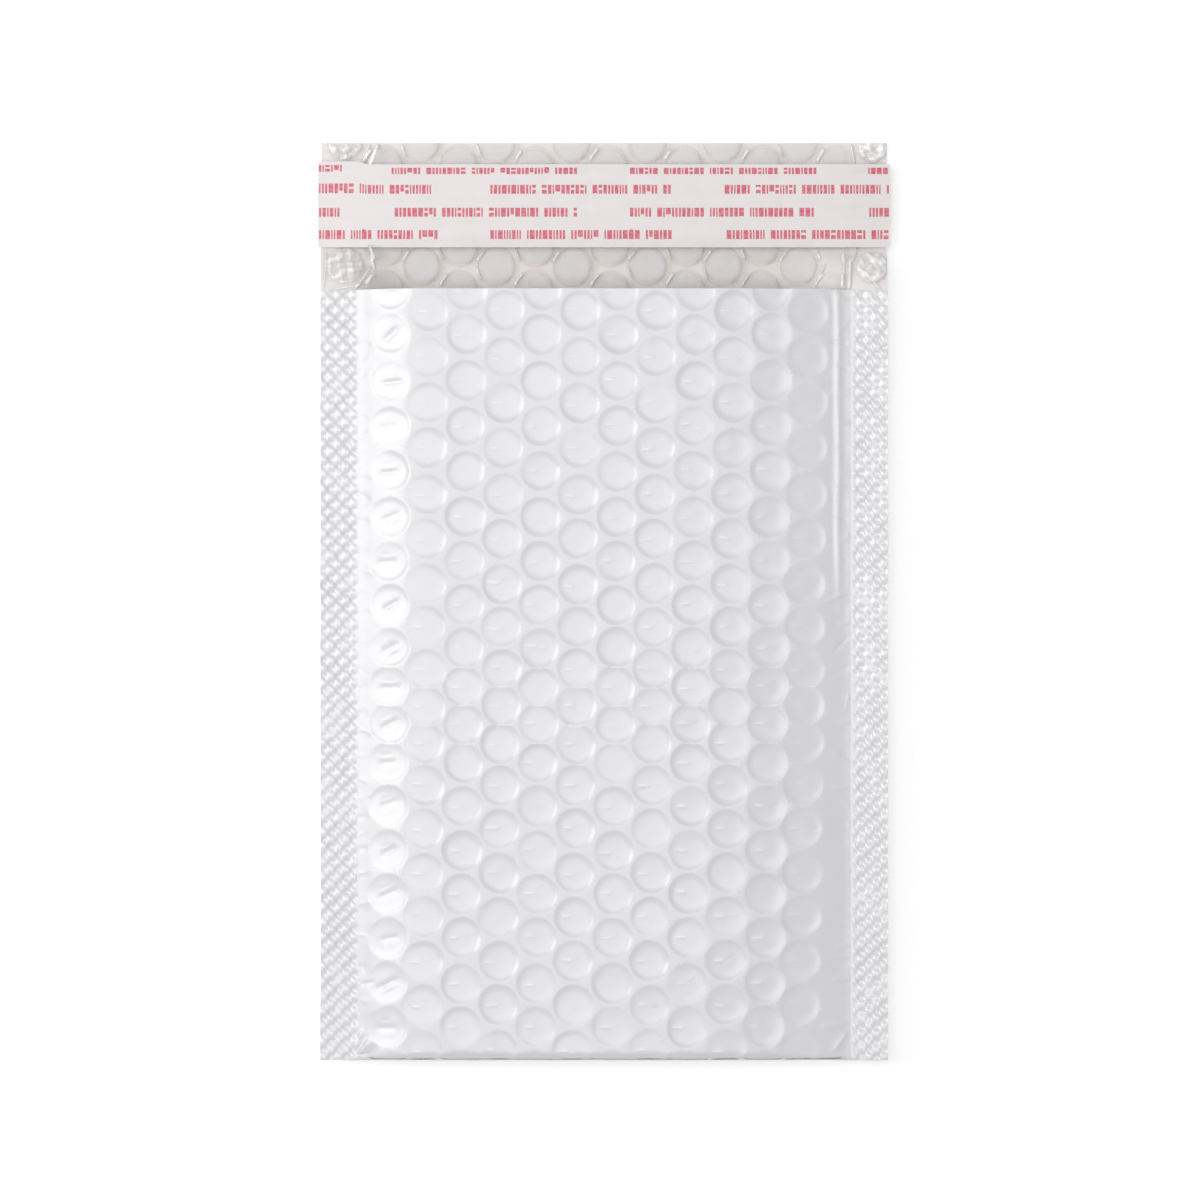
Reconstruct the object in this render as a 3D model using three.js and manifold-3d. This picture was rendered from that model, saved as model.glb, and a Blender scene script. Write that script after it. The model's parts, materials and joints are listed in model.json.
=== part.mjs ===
// Padded envelope with its flap open, empty, lying on its back.
// Millimetres. +X runs across the envelope, +Y towards the flap, +Z out of the front panel.
// The origin is under the middle of the whole outline, on the surface that the envelope lies on.
//
// Four physical pieces:
//   outer_film     one film sheet, folded across the bottom; the back panel runs on as the flap
//   bubble_lining  one air-bubble sheet inside it, welded to itself along both side seals
//   adhesive_strip glue band across the flap, on the crowns of the bubbles
//   release_liner  peel-off strip over the glue
import * as THREE from 'three';
import { mergeVertices } from 'three/addons/utils/BufferGeometryUtils.js';
import Module from 'manifold-3d';

// ---------------------------------------------------------------- driving dimensions
const WIDTH = 150;            // outline across, over both side seals
const BODY_LENGTH = 204;      // bottom fold to mouth
const FLAP_LENGTH = 39;       // mouth to the flap's end
const THICKNESS = 12.8;       // back panel to front panel, where the pocket is full height

const FILM = 0.1;             // outer film
const CLEARANCE = 0.02;       // between laminated layers, so that faces don't share material
const WEB = 0.25;             // flat layer of the bubble sheet
const BUBBLE_HEIGHT = 3.5;    // crown above the web
const VALLEY = 0.1;           // web level between two bubbles
const SINK = 0.1;             // root of the bubble field inside the web

const SEAL_WIDTH = 9.7;       // embossed side seal
const SEAL_THICKNESS = 0.8;   // two films with the flattened bubble sheet between
const SEAL_HEIGHT = 6.4;      // middle of the seal above the table
const SHOULDER = 17;          // run from the seal to the flat of a panel
const NOSE = 4;               // run of the rounded bottom fold
const NOSE_AT_SEAL = 1;       // the same where the seals pinch the fold
const FLAP_SETTLE = 20;       // the flap's side bands come down to the table over this run

const BUBBLE_COLUMNS = 12;    // across the pocket
const BUBBLE_PITCH_X = 10;    // column to column
const BUBBLE_PITCH_Y = 11.5;  // along one column; the next one is half a pitch off
const FIRST_COLUMN_X = -57.75;
const FIRST_ROW_Y = 76.5;     // the last whole bubble below the mouth
const CROWN_RADIUS = 4.9;     // corner radius of a bubble's flat crown

const GLUE_LENGTH = 140, GLUE_WIDTH = 16, GLUE = 0.15;
const LINER_LENGTH = 151.5, LINER_WIDTH = 22, LINER = 0.1;
const LINER_Y = 104.7;        // middle of the glue band and of its liner

// ---------------------------------------------------------------- derived
const END = (BODY_LENGTH + FLAP_LENGTH) / 2;       // flap's end, and the bottom fold at -END
const MOUTH = END - FLAP_LENGTH;
const SEAL_X = WIDTH / 2 - SEAL_WIDTH;             // inner edge of a seal
const FLAT_X = SEAL_X - SHOULDER;                  // edge of the flat of a panel
const HALF_SEAL = SEAL_THICKNESS / 2;
const HALF = THICKNESS / 2;
const LINING_OUT = FILM + CLEARANCE;               // depth of the lining's outer face
const LINING_IN = LINING_OUT + WEB;                // depth of the web's inner face

// ---------------------------------------------------------------- the folded sheet
// A surface at depth d inside the skin. A panel swells from the seal to its flat as a parabola, whose
// stations go by angle: 0 at the seal, 90 degrees at the flat. The cut edge is a station too.
const SHOULDER_STEPS = [0, 15, 30, 45, 60, 75, 90];
const NOSE_STEPS = 8;
const FLAP_ROWS = [0, 5, 10, 15, FLAP_SETTLE, FLAP_LENGTH];

const stationsBetween = (angles, withEdge) => {
  const left = (withEdge ? [{ edge: true, angle: 0, side: -1 }] : [])
    .concat(angles.map((angle) => ({ angle, side: -1 })));
  return left.concat([...left].reverse().map((s) => ({ ...s, side: 1 })));
};

const section = ({ angle, edge, side }, d) => {
  const a = THREE.MathUtils.degToRad(angle);
  const swell = Math.sin(a) ** 2;
  return {
    x: side * (edge ? WIDTH / 2 : FLAT_X + SHOULDER * Math.cos(a)),
    middle: SEAL_HEIGHT + (HALF - SEAL_HEIGHT) * swell,
    half: HALF_SEAL + (HALF - HALF_SEAL) * swell - d,
    nose: NOSE_AT_SEAL + (NOSE - NOSE_AT_SEAL) * swell,
  };
};

// the flap lies flat in the middle; its side bands leave the seals' level and come down to the table
const flapSkin = (s, row) => {
  const fade = 0.5 + 0.5 * Math.cos(Math.PI * Math.min(1, row / FLAP_SETTLE));
  return (s.middle - (s.half)) * fade;
};

// from the front panel's mouth edge down, round the bottom fold and up the back panel to the mouth
const bodyPath = (station, d, mouth = MOUTH) => {
  const s = section(station, d);
  const centre = -END + s.nose;
  const points = [[mouth, s.middle + s.half]];
  for (let k = 0; k <= NOSE_STEPS; k++) {
    const a = Math.PI * (0.5 - k / NOSE_STEPS);
    points.push([centre - (s.nose - d) * Math.cos(a), s.middle + s.half * Math.sin(a)]);
  }
  points.push([mouth, s.middle - s.half]);
  return points.map(([y, z]) => new THREE.Vector3(s.x, y, z));
};

// along the flap at depth d, from the mouth to the flap's end
const flapPath = (station, d) => {
  const skin = section(station, 0);
  const { x } = section(station, d);
  return FLAP_ROWS.map((row) => new THREE.Vector3(x, MOUTH + row, flapSkin(skin, row) + d));
};

// ---------------------------------------------------------------- closed lofts
const signedVolume = (vertices, faces) => {
  let sum = 0;
  const t = new THREE.Vector3();
  for (const [a, b, c] of faces) sum += vertices[a].dot(t.crossVectors(vertices[b], vertices[c]));
  return sum / 6;
};

const geometryOf = (vertices, faces) => {
  if (signedVolume(vertices, faces) < 0) faces = faces.map(([a, b, c]) => [a, c, b]);
  const g = new THREE.BufferGeometry();
  g.setAttribute('position', new THREE.Float32BufferAttribute(vertices.flatMap((v) => v.toArray()), 3));
  g.setIndex(faces.flat());
  return g;
};

// rings of equal length across the envelope, joined side to side, with a flat cap on the first and last.
// From the ring's point number turned on, the quads are split along their other diagonal, so that a
// surface that runs back along the sheet is cut into the same triangles as the one that it lies on.
const loft = (rings, turned = Infinity) => {
  const m = rings[0].length;
  const faces = [];
  for (let i = 0; i + 1 < rings.length; i++) {
    for (let j = 0; j < m; j++) {
      const k = (j + 1) % m;
      const [a, b, c, d] = [i * m + j, i * m + k, (i + 1) * m + k, (i + 1) * m + j];
      if (j < turned) faces.push([a, b, c], [a, c, d]);
      else faces.push([a, b, d], [b, c, d]);
    }
  }
  // a cap runs against the ring on the first one and with it on the last
  const cap = (ring, start, sense) => {
    const outline = ring.map((v) => new THREE.Vector2(v.y, v.z));
    const made = THREE.ShapeUtils.triangulateShape(outline, []);
    const area = made.reduce((sum, t) => sum + THREE.ShapeUtils.area(t.map((n) => outline[n])), 0);
    const same = area * THREE.ShapeUtils.area(outline) * sense > 0;
    for (const [a, b, c] of made) faces.push((same ? [a, b, c] : [a, c, b]).map((n) => start + n));
  };
  cap(rings[0], 0, -1);
  cap(rings.at(-1), (rings.length - 1) * m, 1);
  return geometryOf(rings.flat(), faces);
};

// ---------------------------------------------------------------- solids for joining and cutting
const wasm = await Module();
wasm.setup();
const { Manifold, Mesh } = wasm;

const solidOf = (geometry) => {
  const g = geometry.clone();
  g.deleteAttribute('normal');
  g.deleteAttribute('uv');
  const merged = mergeVertices(g, 1e-5);
  return new Manifold(new Mesh({
    numProp: 3,
    vertProperties: Float32Array.from(merged.attributes.position.array),
    triVerts: Uint32Array.from(merged.index.array),
  }));
};

const geometryFrom = (solid) => {
  const mesh = solid.getMesh();
  const g = new THREE.BufferGeometry();
  const n = mesh.vertProperties.length / mesh.numProp;
  const p = new Float32Array(n * 3);
  for (let i = 0; i < n; i++) for (let k = 0; k < 3; k++) p[3 * i + k] = mesh.vertProperties[i * mesh.numProp + k];
  g.setAttribute('position', new THREE.BufferAttribute(p, 3));
  g.setIndex(new THREE.BufferAttribute(mesh.triVerts, 1));
  return g;
};

// ---------------------------------------------------------------- outer film
const filmGeometry = () => {
  const rings = stationsBetween(SHOULDER_STEPS, true).map((station) => {
    const side = (d) => [...bodyPath(station, d), ...flapPath(station, d).slice(1)];
    return [...side(0), ...side(FILM).reverse()];
  });
  return loft(rings, rings[0].length / 2);
};

// ---------------------------------------------------------------- bubble lining
// everything inside the film down to depth d; flapTop gives the top of the flap's layer from its foot
const filled = (d, flapTop, withEdge) => loft(
  stationsBetween(SHOULDER_STEPS, withEdge).map((station) => {
    const flap = flapPath(station, d);
    const top = flapPath(station, d).map((v) => new THREE.Vector3(v.x, v.y, flapTop(v.z)));
    return [...bodyPath(station, d), ...flap.slice(1), ...top.reverse()];
  }));

// the room inside the web, open at the mouth
const POCKET_STEPS = [8, 15, 30, 45, 60, 75, 90];
const pocket = () => loft(
  stationsBetween(POCKET_STEPS, false).map((station) => bodyPath(station, LINING_IN, MOUTH + 1.5)));

// one field of close-set bubbles: six-sided cells that meet in valleys, each with a flat crown
const bubbleField = (columns, rowsOf, level, up) => {
  const vertices = [];
  const index = new Map();
  const at = (x, y, h) => {
    const key = `${Math.round(x * 100)},${Math.round(y * 100)},${Math.round(h * 100)}`;
    if (!index.has(key)) {
      index.set(key, vertices.length);
      vertices.push(new THREE.Vector3(x, y, level + up * h));
    }
    return index.get(key);
  };
  const faces = [];
  const borders = new Map();
  const third = BUBBLE_PITCH_X / 3;
  for (const column of columns) {
    const x = FIRST_COLUMN_X + column * BUBBLE_PITCH_X;
    for (const y of rowsOf(column)) {
      const corners = [[2, 0], [1, 0.5], [-1, 0.5], [-2, 0], [-1, -0.5], [1, -0.5]]
        .map(([a, b]) => [x + a * third, y + b * BUBBLE_PITCH_Y]);
      const rim = corners.map(([u, v]) => at(u, v, VALLEY));
      const crown = corners.map((_, k) => {
        const a = (k * Math.PI) / 3;
        return at(x + CROWN_RADIUS * Math.cos(a), y + CROWN_RADIUS * Math.sin(a), BUBBLE_HEIGHT);
      });
      const root = corners.map(([u, v]) => at(u, v, -SINK));
      for (let k = 0; k < 6; k++) {
        const n = (k + 1) % 6;
        faces.push([rim[k], rim[n], crown[n]], [rim[k], crown[n], crown[k]]);
        const there = `${rim[k]},${rim[n]}`;
        const back = `${rim[n]},${rim[k]}`;
        if (borders.has(back)) borders.delete(back);
        else borders.set(there, [rim[k], rim[n], root[k], root[n]]);
      }
      for (let k = 1; k < 5; k++) {
        faces.push([crown[0], crown[k], crown[k + 1]]);
        faces.push([root[0], root[k + 1], root[k]]);
      }
    }
  }
  for (const [a, b, c, d] of borders.values()) faces.push([b, a, c], [b, c, d]);
  return geometryOf(vertices, faces);
};

const rowsFrom = (first, last) => (column) => {
  const rows = [];
  for (let k = -6; k < 40; k++) {
    const y = FIRST_ROW_Y - (k + (column % 2 ? 0.5 : 0)) * BUBBLE_PITCH_Y;
    if (y <= first && y >= last) rows.push(y);
  }
  return rows;
};
const columnsTo = (n) => Array.from({ length: n }, (_, k) => k);

const liningGeometry = () => {
  const flapWeb = (z) => z + WEB - 0.01;
  const shell = solidOf(filled(LINING_OUT, flapWeb, true)).subtract(solidOf(pocket()));
  const inside = solidOf(filled(LINING_OUT + 0.08, (z) => z + 5, false));
  const half = BUBBLE_PITCH_Y / 2;
  const back = solidOf(bubbleField(
    columnsTo(BUBBLE_COLUMNS + 1), rowsFrom(END - half - 0.3, -END + NOSE), LINING_IN, 1));
  const front = solidOf(bubbleField(
    columnsTo(BUBBLE_COLUMNS), rowsFrom(MOUTH - half - 0.1, -END + NOSE), THICKNESS - LINING_IN, -1));
  const whole = shell.add(back.intersect(inside)).add(front.intersect(inside));
  const bodies = whole.decompose().sort((p, q) => q.volume() - p.volume());
  return geometryFrom(bodies[0]);
};

// ---------------------------------------------------------------- strips on the flap
const strip = (length, width, thickness) => new THREE.BoxGeometry(length, width, thickness, 12, 1, 1);
const GLUE_Z = LINING_IN + BUBBLE_HEIGHT + CLEARANCE + GLUE / 2;
const LINER_Z = GLUE_Z + GLUE / 2 + CLEARANCE + LINER / 2;

// ---------------------------------------------------------------- assembly
const material = (color, roughness, more = {}) => new THREE.MeshStandardMaterial({
  color, roughness, metalness: 0, side: THREE.FrontSide, ...more,
});

const piece = (name, geometry, mat, position = [0, 0, 0]) => {
  const mesh = new THREE.Mesh(geometry, mat);
  mesh.name = name;
  mesh.position.set(...position);
  return mesh;
};

const group = new THREE.Group();
group.name = 'padded_envelope';
group.add(
  piece('outer_film', filmGeometry(), material(0xe9e9ec, 0.42)),
  piece('bubble_lining', liningGeometry(), material(0xdcd8d4, 0.2)),
  piece('adhesive_strip', strip(GLUE_LENGTH, GLUE_WIDTH, GLUE), material(0xe6dcc4, 0.3), [0, LINER_Y, GLUE_Z]),
  piece('release_liner', strip(LINER_LENGTH, LINER_WIDTH, LINER), material(0xe9e4e3, 0.35), [0, LINER_Y, LINER_Z]),
);

export default group;
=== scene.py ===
import json
import math

import bpy
import numpy as np
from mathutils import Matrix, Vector
from mathutils.geometry import delaunay_2d_cdt

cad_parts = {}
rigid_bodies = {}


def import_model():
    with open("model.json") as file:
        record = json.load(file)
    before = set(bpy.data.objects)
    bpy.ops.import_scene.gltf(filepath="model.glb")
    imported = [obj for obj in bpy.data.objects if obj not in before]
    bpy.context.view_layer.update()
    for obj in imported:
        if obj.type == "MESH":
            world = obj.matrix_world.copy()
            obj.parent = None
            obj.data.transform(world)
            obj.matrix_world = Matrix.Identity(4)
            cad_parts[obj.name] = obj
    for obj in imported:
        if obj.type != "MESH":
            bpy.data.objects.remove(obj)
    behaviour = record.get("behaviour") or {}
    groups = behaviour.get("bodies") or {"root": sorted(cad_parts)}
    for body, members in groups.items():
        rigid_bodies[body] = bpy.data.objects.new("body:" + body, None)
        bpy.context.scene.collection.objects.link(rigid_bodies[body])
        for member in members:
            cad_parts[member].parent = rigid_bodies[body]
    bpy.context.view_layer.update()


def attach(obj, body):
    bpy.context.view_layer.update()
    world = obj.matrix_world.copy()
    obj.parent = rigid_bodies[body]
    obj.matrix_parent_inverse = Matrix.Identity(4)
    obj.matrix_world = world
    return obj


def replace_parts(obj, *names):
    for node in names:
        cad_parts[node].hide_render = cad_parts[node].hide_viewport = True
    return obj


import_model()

MM = 0.001
RNG = np.random.default_rng(7662)

# ---------------------------------------------------------------- sizes, as the CAD has them
WIDTH, BODY, FLAP, THICK = 150.0, 204.0, 39.0, 12.8
END = (BODY + FLAP) / 2
MOUTH = END - FLAP
SEAL_W, SEAL_T, SEAL_Z = 9.7, 0.8, 6.4
SEAL_X = WIDTH / 2 - SEAL_W
HALF, HALF_SEAL = THICK / 2, SEAL_T / 2
NOSE, NOSE_AT_SEAL, NOSE_V = 2.5, 1.0, 7.6      # NOSE_V: the bottom fold's length in the flat pattern
V_FOLD = -END + NOSE                             # where the flat pattern starts to bend
V_TIP = V_FOLD - NOSE_V
FLAP_SETTLE = 17.0
CELL_X, CELL_Y = 2.0, 3.95                       # embossed lattice of the seals

# ---------------------------------------------------------------- small tools


def smooth(a, b, x):
    t = np.clip((np.asarray(x, float) - a) / (b - a), 0, 1)
    return t * t * (3 - 2 * t)


class Noise:
    """Smooth value noise on a plane, from -1 to 1."""

    def __init__(self, seed, cell):
        self.table = np.random.default_rng(seed).uniform(-1, 1, (128, 128))
        self.cell = cell

    def __call__(self, x, y):
        cx, cy = (self.cell, self.cell) if np.isscalar(self.cell) else self.cell
        x, y = np.asarray(x) / cx + 1000.37, np.asarray(y) / cy + 1000.61
        i, j = np.floor(x).astype(int), np.floor(y).astype(int)
        fx, fy = x - i, y - j
        fx, fy = fx * fx * fx * (fx * (6 * fx - 15) + 10), fy * fy * fy * (fy * (6 * fy - 15) + 10)
        t = self.table
        i0, i1, j0, j1 = i % 128, (i + 1) % 128, j % 128, (j + 1) % 128
        a = t[i0, j0] * (1 - fx) + t[i1, j0] * fx
        b = t[i0, j1] * (1 - fx) + t[i1, j1] * fx
        return a * (1 - fy) + b * fy


def thin(points, step):
    """Keeps the first of the points that fall in one square of the given step."""
    points = np.asarray(points, float)
    keys = np.round(points / step).astype(np.int64)
    _, first = np.unique(keys[:, 0] * 1000003 + keys[:, 1], return_index=True)
    return points[np.sort(first)]


def fill_points(low, high, step, taken, reach):
    """A triangular grid of points that stay clear of those already taken."""
    xs = np.arange(low[0] + step / 2, high[0], step)
    ys = np.arange(low[1] + step / 2, high[1], step * 0.866)
    gx, gy = np.meshgrid(xs, ys)
    gx = gx + (np.arange(len(ys)) % 2)[:, None] * step / 2
    pts = np.stack([gx.ravel(), gy.ravel()], 1)
    cell = reach / 1.5
    size = np.ceil((np.array(high) - low) / cell).astype(int) + 5
    grid = np.zeros(size, bool)
    at = np.clip(np.floor((taken - low) / cell).astype(int) + 2, 0, size - 1)
    grid[at[:, 0], at[:, 1]] = True
    wide = grid.copy()
    for dx in (-1, 0, 1):
        for dy in (-1, 0, 1):
            wide |= np.roll(np.roll(grid, dx, 0), dy, 1)
    at = np.clip(np.floor((pts - low) / cell).astype(int) + 2, 0, size - 1)
    free = ~wide[at[:, 0], at[:, 1]]
    inside = (pts > np.array(low) + 0.2 * step).all(1) & (pts < np.array(high) - 0.2 * step).all(1)
    return pts[free & inside]


def edge_points(low, high, step):
    """Points round a rectangle, in order."""
    (x0, y0), (x1, y1) = low, high
    nx, ny = max(1, round((x1 - x0) / step)), max(1, round((y1 - y0) / step))
    xs, ys = np.linspace(x0, x1, nx + 1), np.linspace(y0, y1, ny + 1)
    return np.array(
        [(x, y0) for x in xs[:-1]]
        + [(x1, y) for y in ys[:-1]]
        + [(x, y1) for x in xs[:0:-1]]
        + [(x0, y) for y in ys[:0:-1]]
    )


def triangulate(rim, inner, low, high, gap=0.14):
    """Delaunay triangles of a rectangle's rim points and the points inside it. The rim comes first."""
    inner = np.asarray(inner)
    keep = (inner > np.array(low) + gap).all(1) & (inner < np.array(high) - gap).all(1)
    pts = np.vstack([rim, inner[keep]])
    pts = pts.astype(np.float32).astype(float)
    verts, _, faces, orig, _, _ = delaunay_2d_cdt([Vector(p) for p in pts], [], [], 0, 1e-5)
    v = np.array([(p.x, p.y) for p in verts])
    f = np.array([t for t in faces if len(t) == 3])
    a, b, c = v[f[:, 0]], v[f[:, 1]], v[f[:, 2]]
    area = (b[:, 0] - a[:, 0]) * (c[:, 1] - a[:, 1]) - (b[:, 1] - a[:, 1]) * (c[:, 0] - a[:, 0])
    f[area < 0] = f[area < 0][:, ::-1]
    f = f[np.abs(area) > 1e-7]
    first = {}
    for n, made_of in enumerate(orig):
        for k in made_of:
            if k < len(rim):
                first[k] = n
    return v, f, np.array([first[k] for k in range(len(rim))])


def build(name, verts, faces, materials, slots=None, attributes=None, sharp=50):
    mesh = bpy.data.meshes.new(name)
    verts, faces = np.asarray(verts, np.float32) * MM, np.asarray(faces, np.int32)
    mesh.vertices.add(len(verts))
    mesh.vertices.foreach_set("co", verts.ravel())
    mesh.loops.add(faces.size)
    mesh.loops.foreach_set("vertex_index", faces.ravel())
    mesh.polygons.add(len(faces))
    mesh.polygons.foreach_set("loop_start", np.arange(0, faces.size, 3, dtype=np.int32))
    mesh.polygons.foreach_set("loop_total", np.full(len(faces), 3, np.int32))
    if slots is not None:
        mesh.polygons.foreach_set("material_index", np.asarray(slots, np.int32))
    mesh.update(calc_edges=True)
    mesh.validate()
    for key, values in (attributes or {}).items():
        mesh.attributes.new(key, "FLOAT", "POINT").data.foreach_set("value", np.asarray(values, np.float32))
    for m in materials:
        mesh.materials.append(m)
    mesh.shade_smooth()
    mesh.set_sharp_from_angle(angle=math.radians(sharp))
    obj = bpy.data.objects.new(name, mesh)
    bpy.context.scene.collection.objects.link(obj)
    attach(obj, "root")
    return obj


# ---------------------------------------------------------------- the folded sheet in space
SLOW = Noise(11, 46.0)
MILD = Noise(12, 17.0)
EDGE = Noise(13, 9.0)


# how steeply the front panel climbs away from the left and from the right seal: distances and slopes
CLIMB_LEFT = ([0, 4, 8, 11, 14, 17, 21], [0.50, 0.47, 0.40, 0.32, 0.20, 0.08, 0.0])
CLIMB_RIGHT = ([0, 3, 8, 13, 20, 32, 48], [0.27, 0.27, 0.25, 0.17, 0.12, 0.06, 0.0])
CLIMB_X = np.linspace(0, 66, 661)


def risen(table):
    slope = np.interp(CLIMB_X, *table)
    slope = np.convolve(np.pad(slope, 12, mode="edge"), np.ones(25) / 25, "valid")
    rise = np.concatenate([[0], np.cumsum((slope[1:] + slope[:-1]) / 2)])
    return rise / rise[-1]


RISEN_LEFT, RISEN_RIGHT = risen(CLIMB_LEFT), risen(CLIMB_RIGHT)


def lattice(x, y):
    """1 in the middle of a recessed cell of the seal, -1 on the boss between four of them."""
    wx = x + 0.16 * Noise(36, 2.4)(x, y)
    wy = y + 0.30 * Noise(37, 3.0)(x, y)
    a = (np.abs(wx) - (WIDTH / 2 - 0.9)) / CELL_X
    along = np.tanh(1.5 * np.cos(2 * math.pi * wy / CELL_Y)) / 0.905
    return np.tanh(1.3 * np.cos(math.pi * a) - 0.15) / 0.86 * along


def seal_edge(y, side):
    """Distance from the middle at which the seal ends, a ragged line that follows the lattice."""
    start = np.where(np.asarray(side) > 0, SEAL_X + 0.75, SEAL_X + 0.05)
    return start + 0.35 * np.cos(2 * math.pi * y / CELL_Y) + 0.25 * EDGE(y + 40 * side, 3.0 * side)


def section(x, y, front):
    """How far a panel has swelled between the seal (0) and its flat middle (1), and its height there."""
    inward = SEAL_X - np.abs(x)
    if front:
        swell = np.where(x < 0, np.interp(inward, CLIMB_X, RISEN_LEFT), np.interp(inward, CLIMB_X, RISEN_RIGHT))
    else:
        swell = 1 - (1 - np.clip(inward / 17.0, 0, 1)) ** 2
    # the kink at the seal isn't quite sharp
    swell = swell + 0.035 * np.exp(-((inward / 1.1) ** 2)) * (inward > -3)
    if front:
        return swell, SEAL_Z + HALF_SEAL + (THICK - SEAL_Z - HALF_SEAL) * swell
    return swell, (SEAL_Z - HALF_SEAL) * (1 - swell)


def seal_curl(u, v):
    """The seals don't lie quite level: the right one turns up a little towards its cut edge."""
    out = np.clip(np.abs(u) - SEAL_X, 0, None)
    lean = np.where(u > 0, 0.19 + 0.02 * Noise(15, 60.0)(u, v), 0.02 + 0.015 * Noise(16, 45.0)(u, v))
    return out * lean * smooth(MOUTH + 12, MOUTH - 4, v)


def place(u, v, front):
    """The sheet's pattern point (u, v) in space, without marks."""
    u, v = np.asarray(u, float), np.asarray(v, float)
    g = np.clip((V_FOLD - v) / NOSE_V, 0, 1)
    fast, level = section(u, v, front)
    nose = NOSE_AT_SEAL + (NOSE - NOSE_AT_SEAL) * fast
    middle = SEAL_Z + (HALF - SEAL_Z) * fast
    rise = np.abs(level - middle)
    straight = NOSE - nose
    arc = math.pi / 2 * np.sqrt((nose**2 + rise**2) / 2)
    s = g * (straight + arc)
    phi = np.clip((s - straight) / arc, 0, 1) * math.pi / 2
    sign = 1.0 if front else -1.0
    y = np.where(v >= V_FOLD, v, V_FOLD - np.minimum(s, straight) - nose * np.sin(phi))
    z = middle + sign * rise * np.clip(np.cos(phi), 0, 1) ** 0.6
    if front:
        # the mouth edge is a little lower at the seals, and the panel isn't quite even
        y = y - 0.3 * smooth(56, 71, np.abs(u)) * np.exp(-(MOUTH - v) / 5)
        z = z + fast * np.cos(phi) * (0.22 * SLOW(u, v) + 0.10 * MILD(u, v))
    else:
        # past the mouth the side bands come down to the table
        row = np.clip((v - MOUTH) / FLAP_SETTLE, 0, 1)
        z = z * (0.5 + 0.5 * np.cos(math.pi * row))
    z = z + seal_curl(u, v)
    x = u + 0.12 * EDGE(v, 7.0 * np.sign(u)) * smooth(70, 75, np.abs(u)) * np.sign(u)
    return np.stack([x, y, z], -1)


def surface(u, v, front, height):
    """The sheet at a height above its own skin, measured along its outward normal."""
    e = 0.05
    p = place(u, v, front)
    du = place(u + e, v, front) - place(u - e, v, front)
    dv = place(u, v + e, front) - place(u, np.maximum(v - e, V_TIP), front)
    n = np.cross(du, dv)
    n /= np.maximum(np.linalg.norm(n, axis=1), 1e-9)[:, None]
    if not front:
        n = -n
    return p + n * np.asarray(height)[:, None]


# ---------------------------------------------------------------- where the bubbles lie
def px_x(px):
    return (np.asarray(px, float) - 604.0) / 3.787


def px_y(py):
    return (601.0 - np.asarray(py, float)) / 3.787


COLUMN_TOP = px_x([391, 429, 467, 505, 542, 581, 619, 657, 696, 734, 772, 809])
COLUMN_BOTTOM = px_x([387, 423, 461, 498, 536, 573, 612, 649, 687, 725, 764, 800])
ROWS_ODD = px_y([290, 334, 381, 426, 471, 517, 561, 605, 648, 687, 724, 763, 806, 851, 894, 938, 983, 1027])
ROWS_EVEN = px_y([311, 357, 403, 448, 494, 539, 584, 627, 669, 706, 743, 785, 829, 873, 917, 961, 1005, 1050])


class Marks:
    """The round marks of the bubbles on one sheet: centres, radii and how strong each one is."""

    def __init__(self, centres, radius, strength, seed):
        rng = np.random.default_rng(seed)
        n = len(centres)
        self.c = np.asarray(centres, float) + rng.normal(0, 0.1, (n, 2))
        self.r = radius * (1 + rng.normal(0, 0.012, n))
        self.oval = rng.uniform(0, 0.025, n)
        self.oval_at = rng.uniform(0, math.pi, n)
        self.lobe = rng.uniform(0, 0.012, n)
        self.lobe_at = rng.uniform(0, 2 * math.pi, n)
        self.k = np.asarray(strength, float) * (1 + rng.normal(0, 0.12, n))
        self.tilt = rng.normal(0, 0.010, (n, 2))

    def radius(self, i, a):
        return self.r[i] * (
            1 + self.oval[i] * np.cos(2 * (a - self.oval_at[i])) + self.lobe[i] * np.cos(3 * a - self.lobe_at[i])
        )

    def rings(self, qs, counts):
        out = []
        for i in range(len(self.c)):
            for k, (q, n) in enumerate(zip(qs, counts)):
                if n == 0:
                    out.append(self.c[i][None])
                    continue
                a = 2 * math.pi * (np.arange(n) + 0.5 * (k % 2)) / n
                r = q * self.radius(i, a)
                out.append(self.c[i] + np.stack([r * np.cos(a), r * np.sin(a)], 1))
        return np.vstack(out)

    def nearest(self, u, v, reach=1.5):
        """For each point, the mark it lies deepest in and how far out it is there, as a share of the radius."""
        best, which = np.full(len(u), 9.0), np.zeros(len(u), int)
        order = np.argsort(v)
        sv = v[order]
        for i, (cx, cy) in enumerate(self.c):
            r = self.r[i] * reach
            lo, hi = np.searchsorted(sv, [cy - r, cy + r])
            near = order[lo:hi]
            near = near[np.abs(u[near] - cx) < r]
            dx, dy = u[near] - cx, v[near] - cy
            q = np.hypot(dx, dy) / self.radius(i, np.arctan2(dy, dx))
            less = q < best[near]
            best[near[less]], which[near[less]] = q[less], i
        return best, which


def front_marks():
    centres, strength = [], []
    for c in range(12):
        for r, y in enumerate(ROWS_ODD if c % 2 == 0 else ROWS_EVEN):
            t = (ROWS_ODD[0] - y) / (ROWS_ODD[0] - ROWS_EVEN[-1])
            x = COLUMN_TOP[c] * (1 - t) + COLUMN_BOTTOM[c] * t
            centres.append((x, y))
            low = 0.45 if y < -117 else 0.8 if y < -111 else 1.0
            strength.append(low * (0.6 if c == 11 else 0.72 if c == 0 else 0.9 if c == 10 else 1.0))
    return centres, strength


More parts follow.
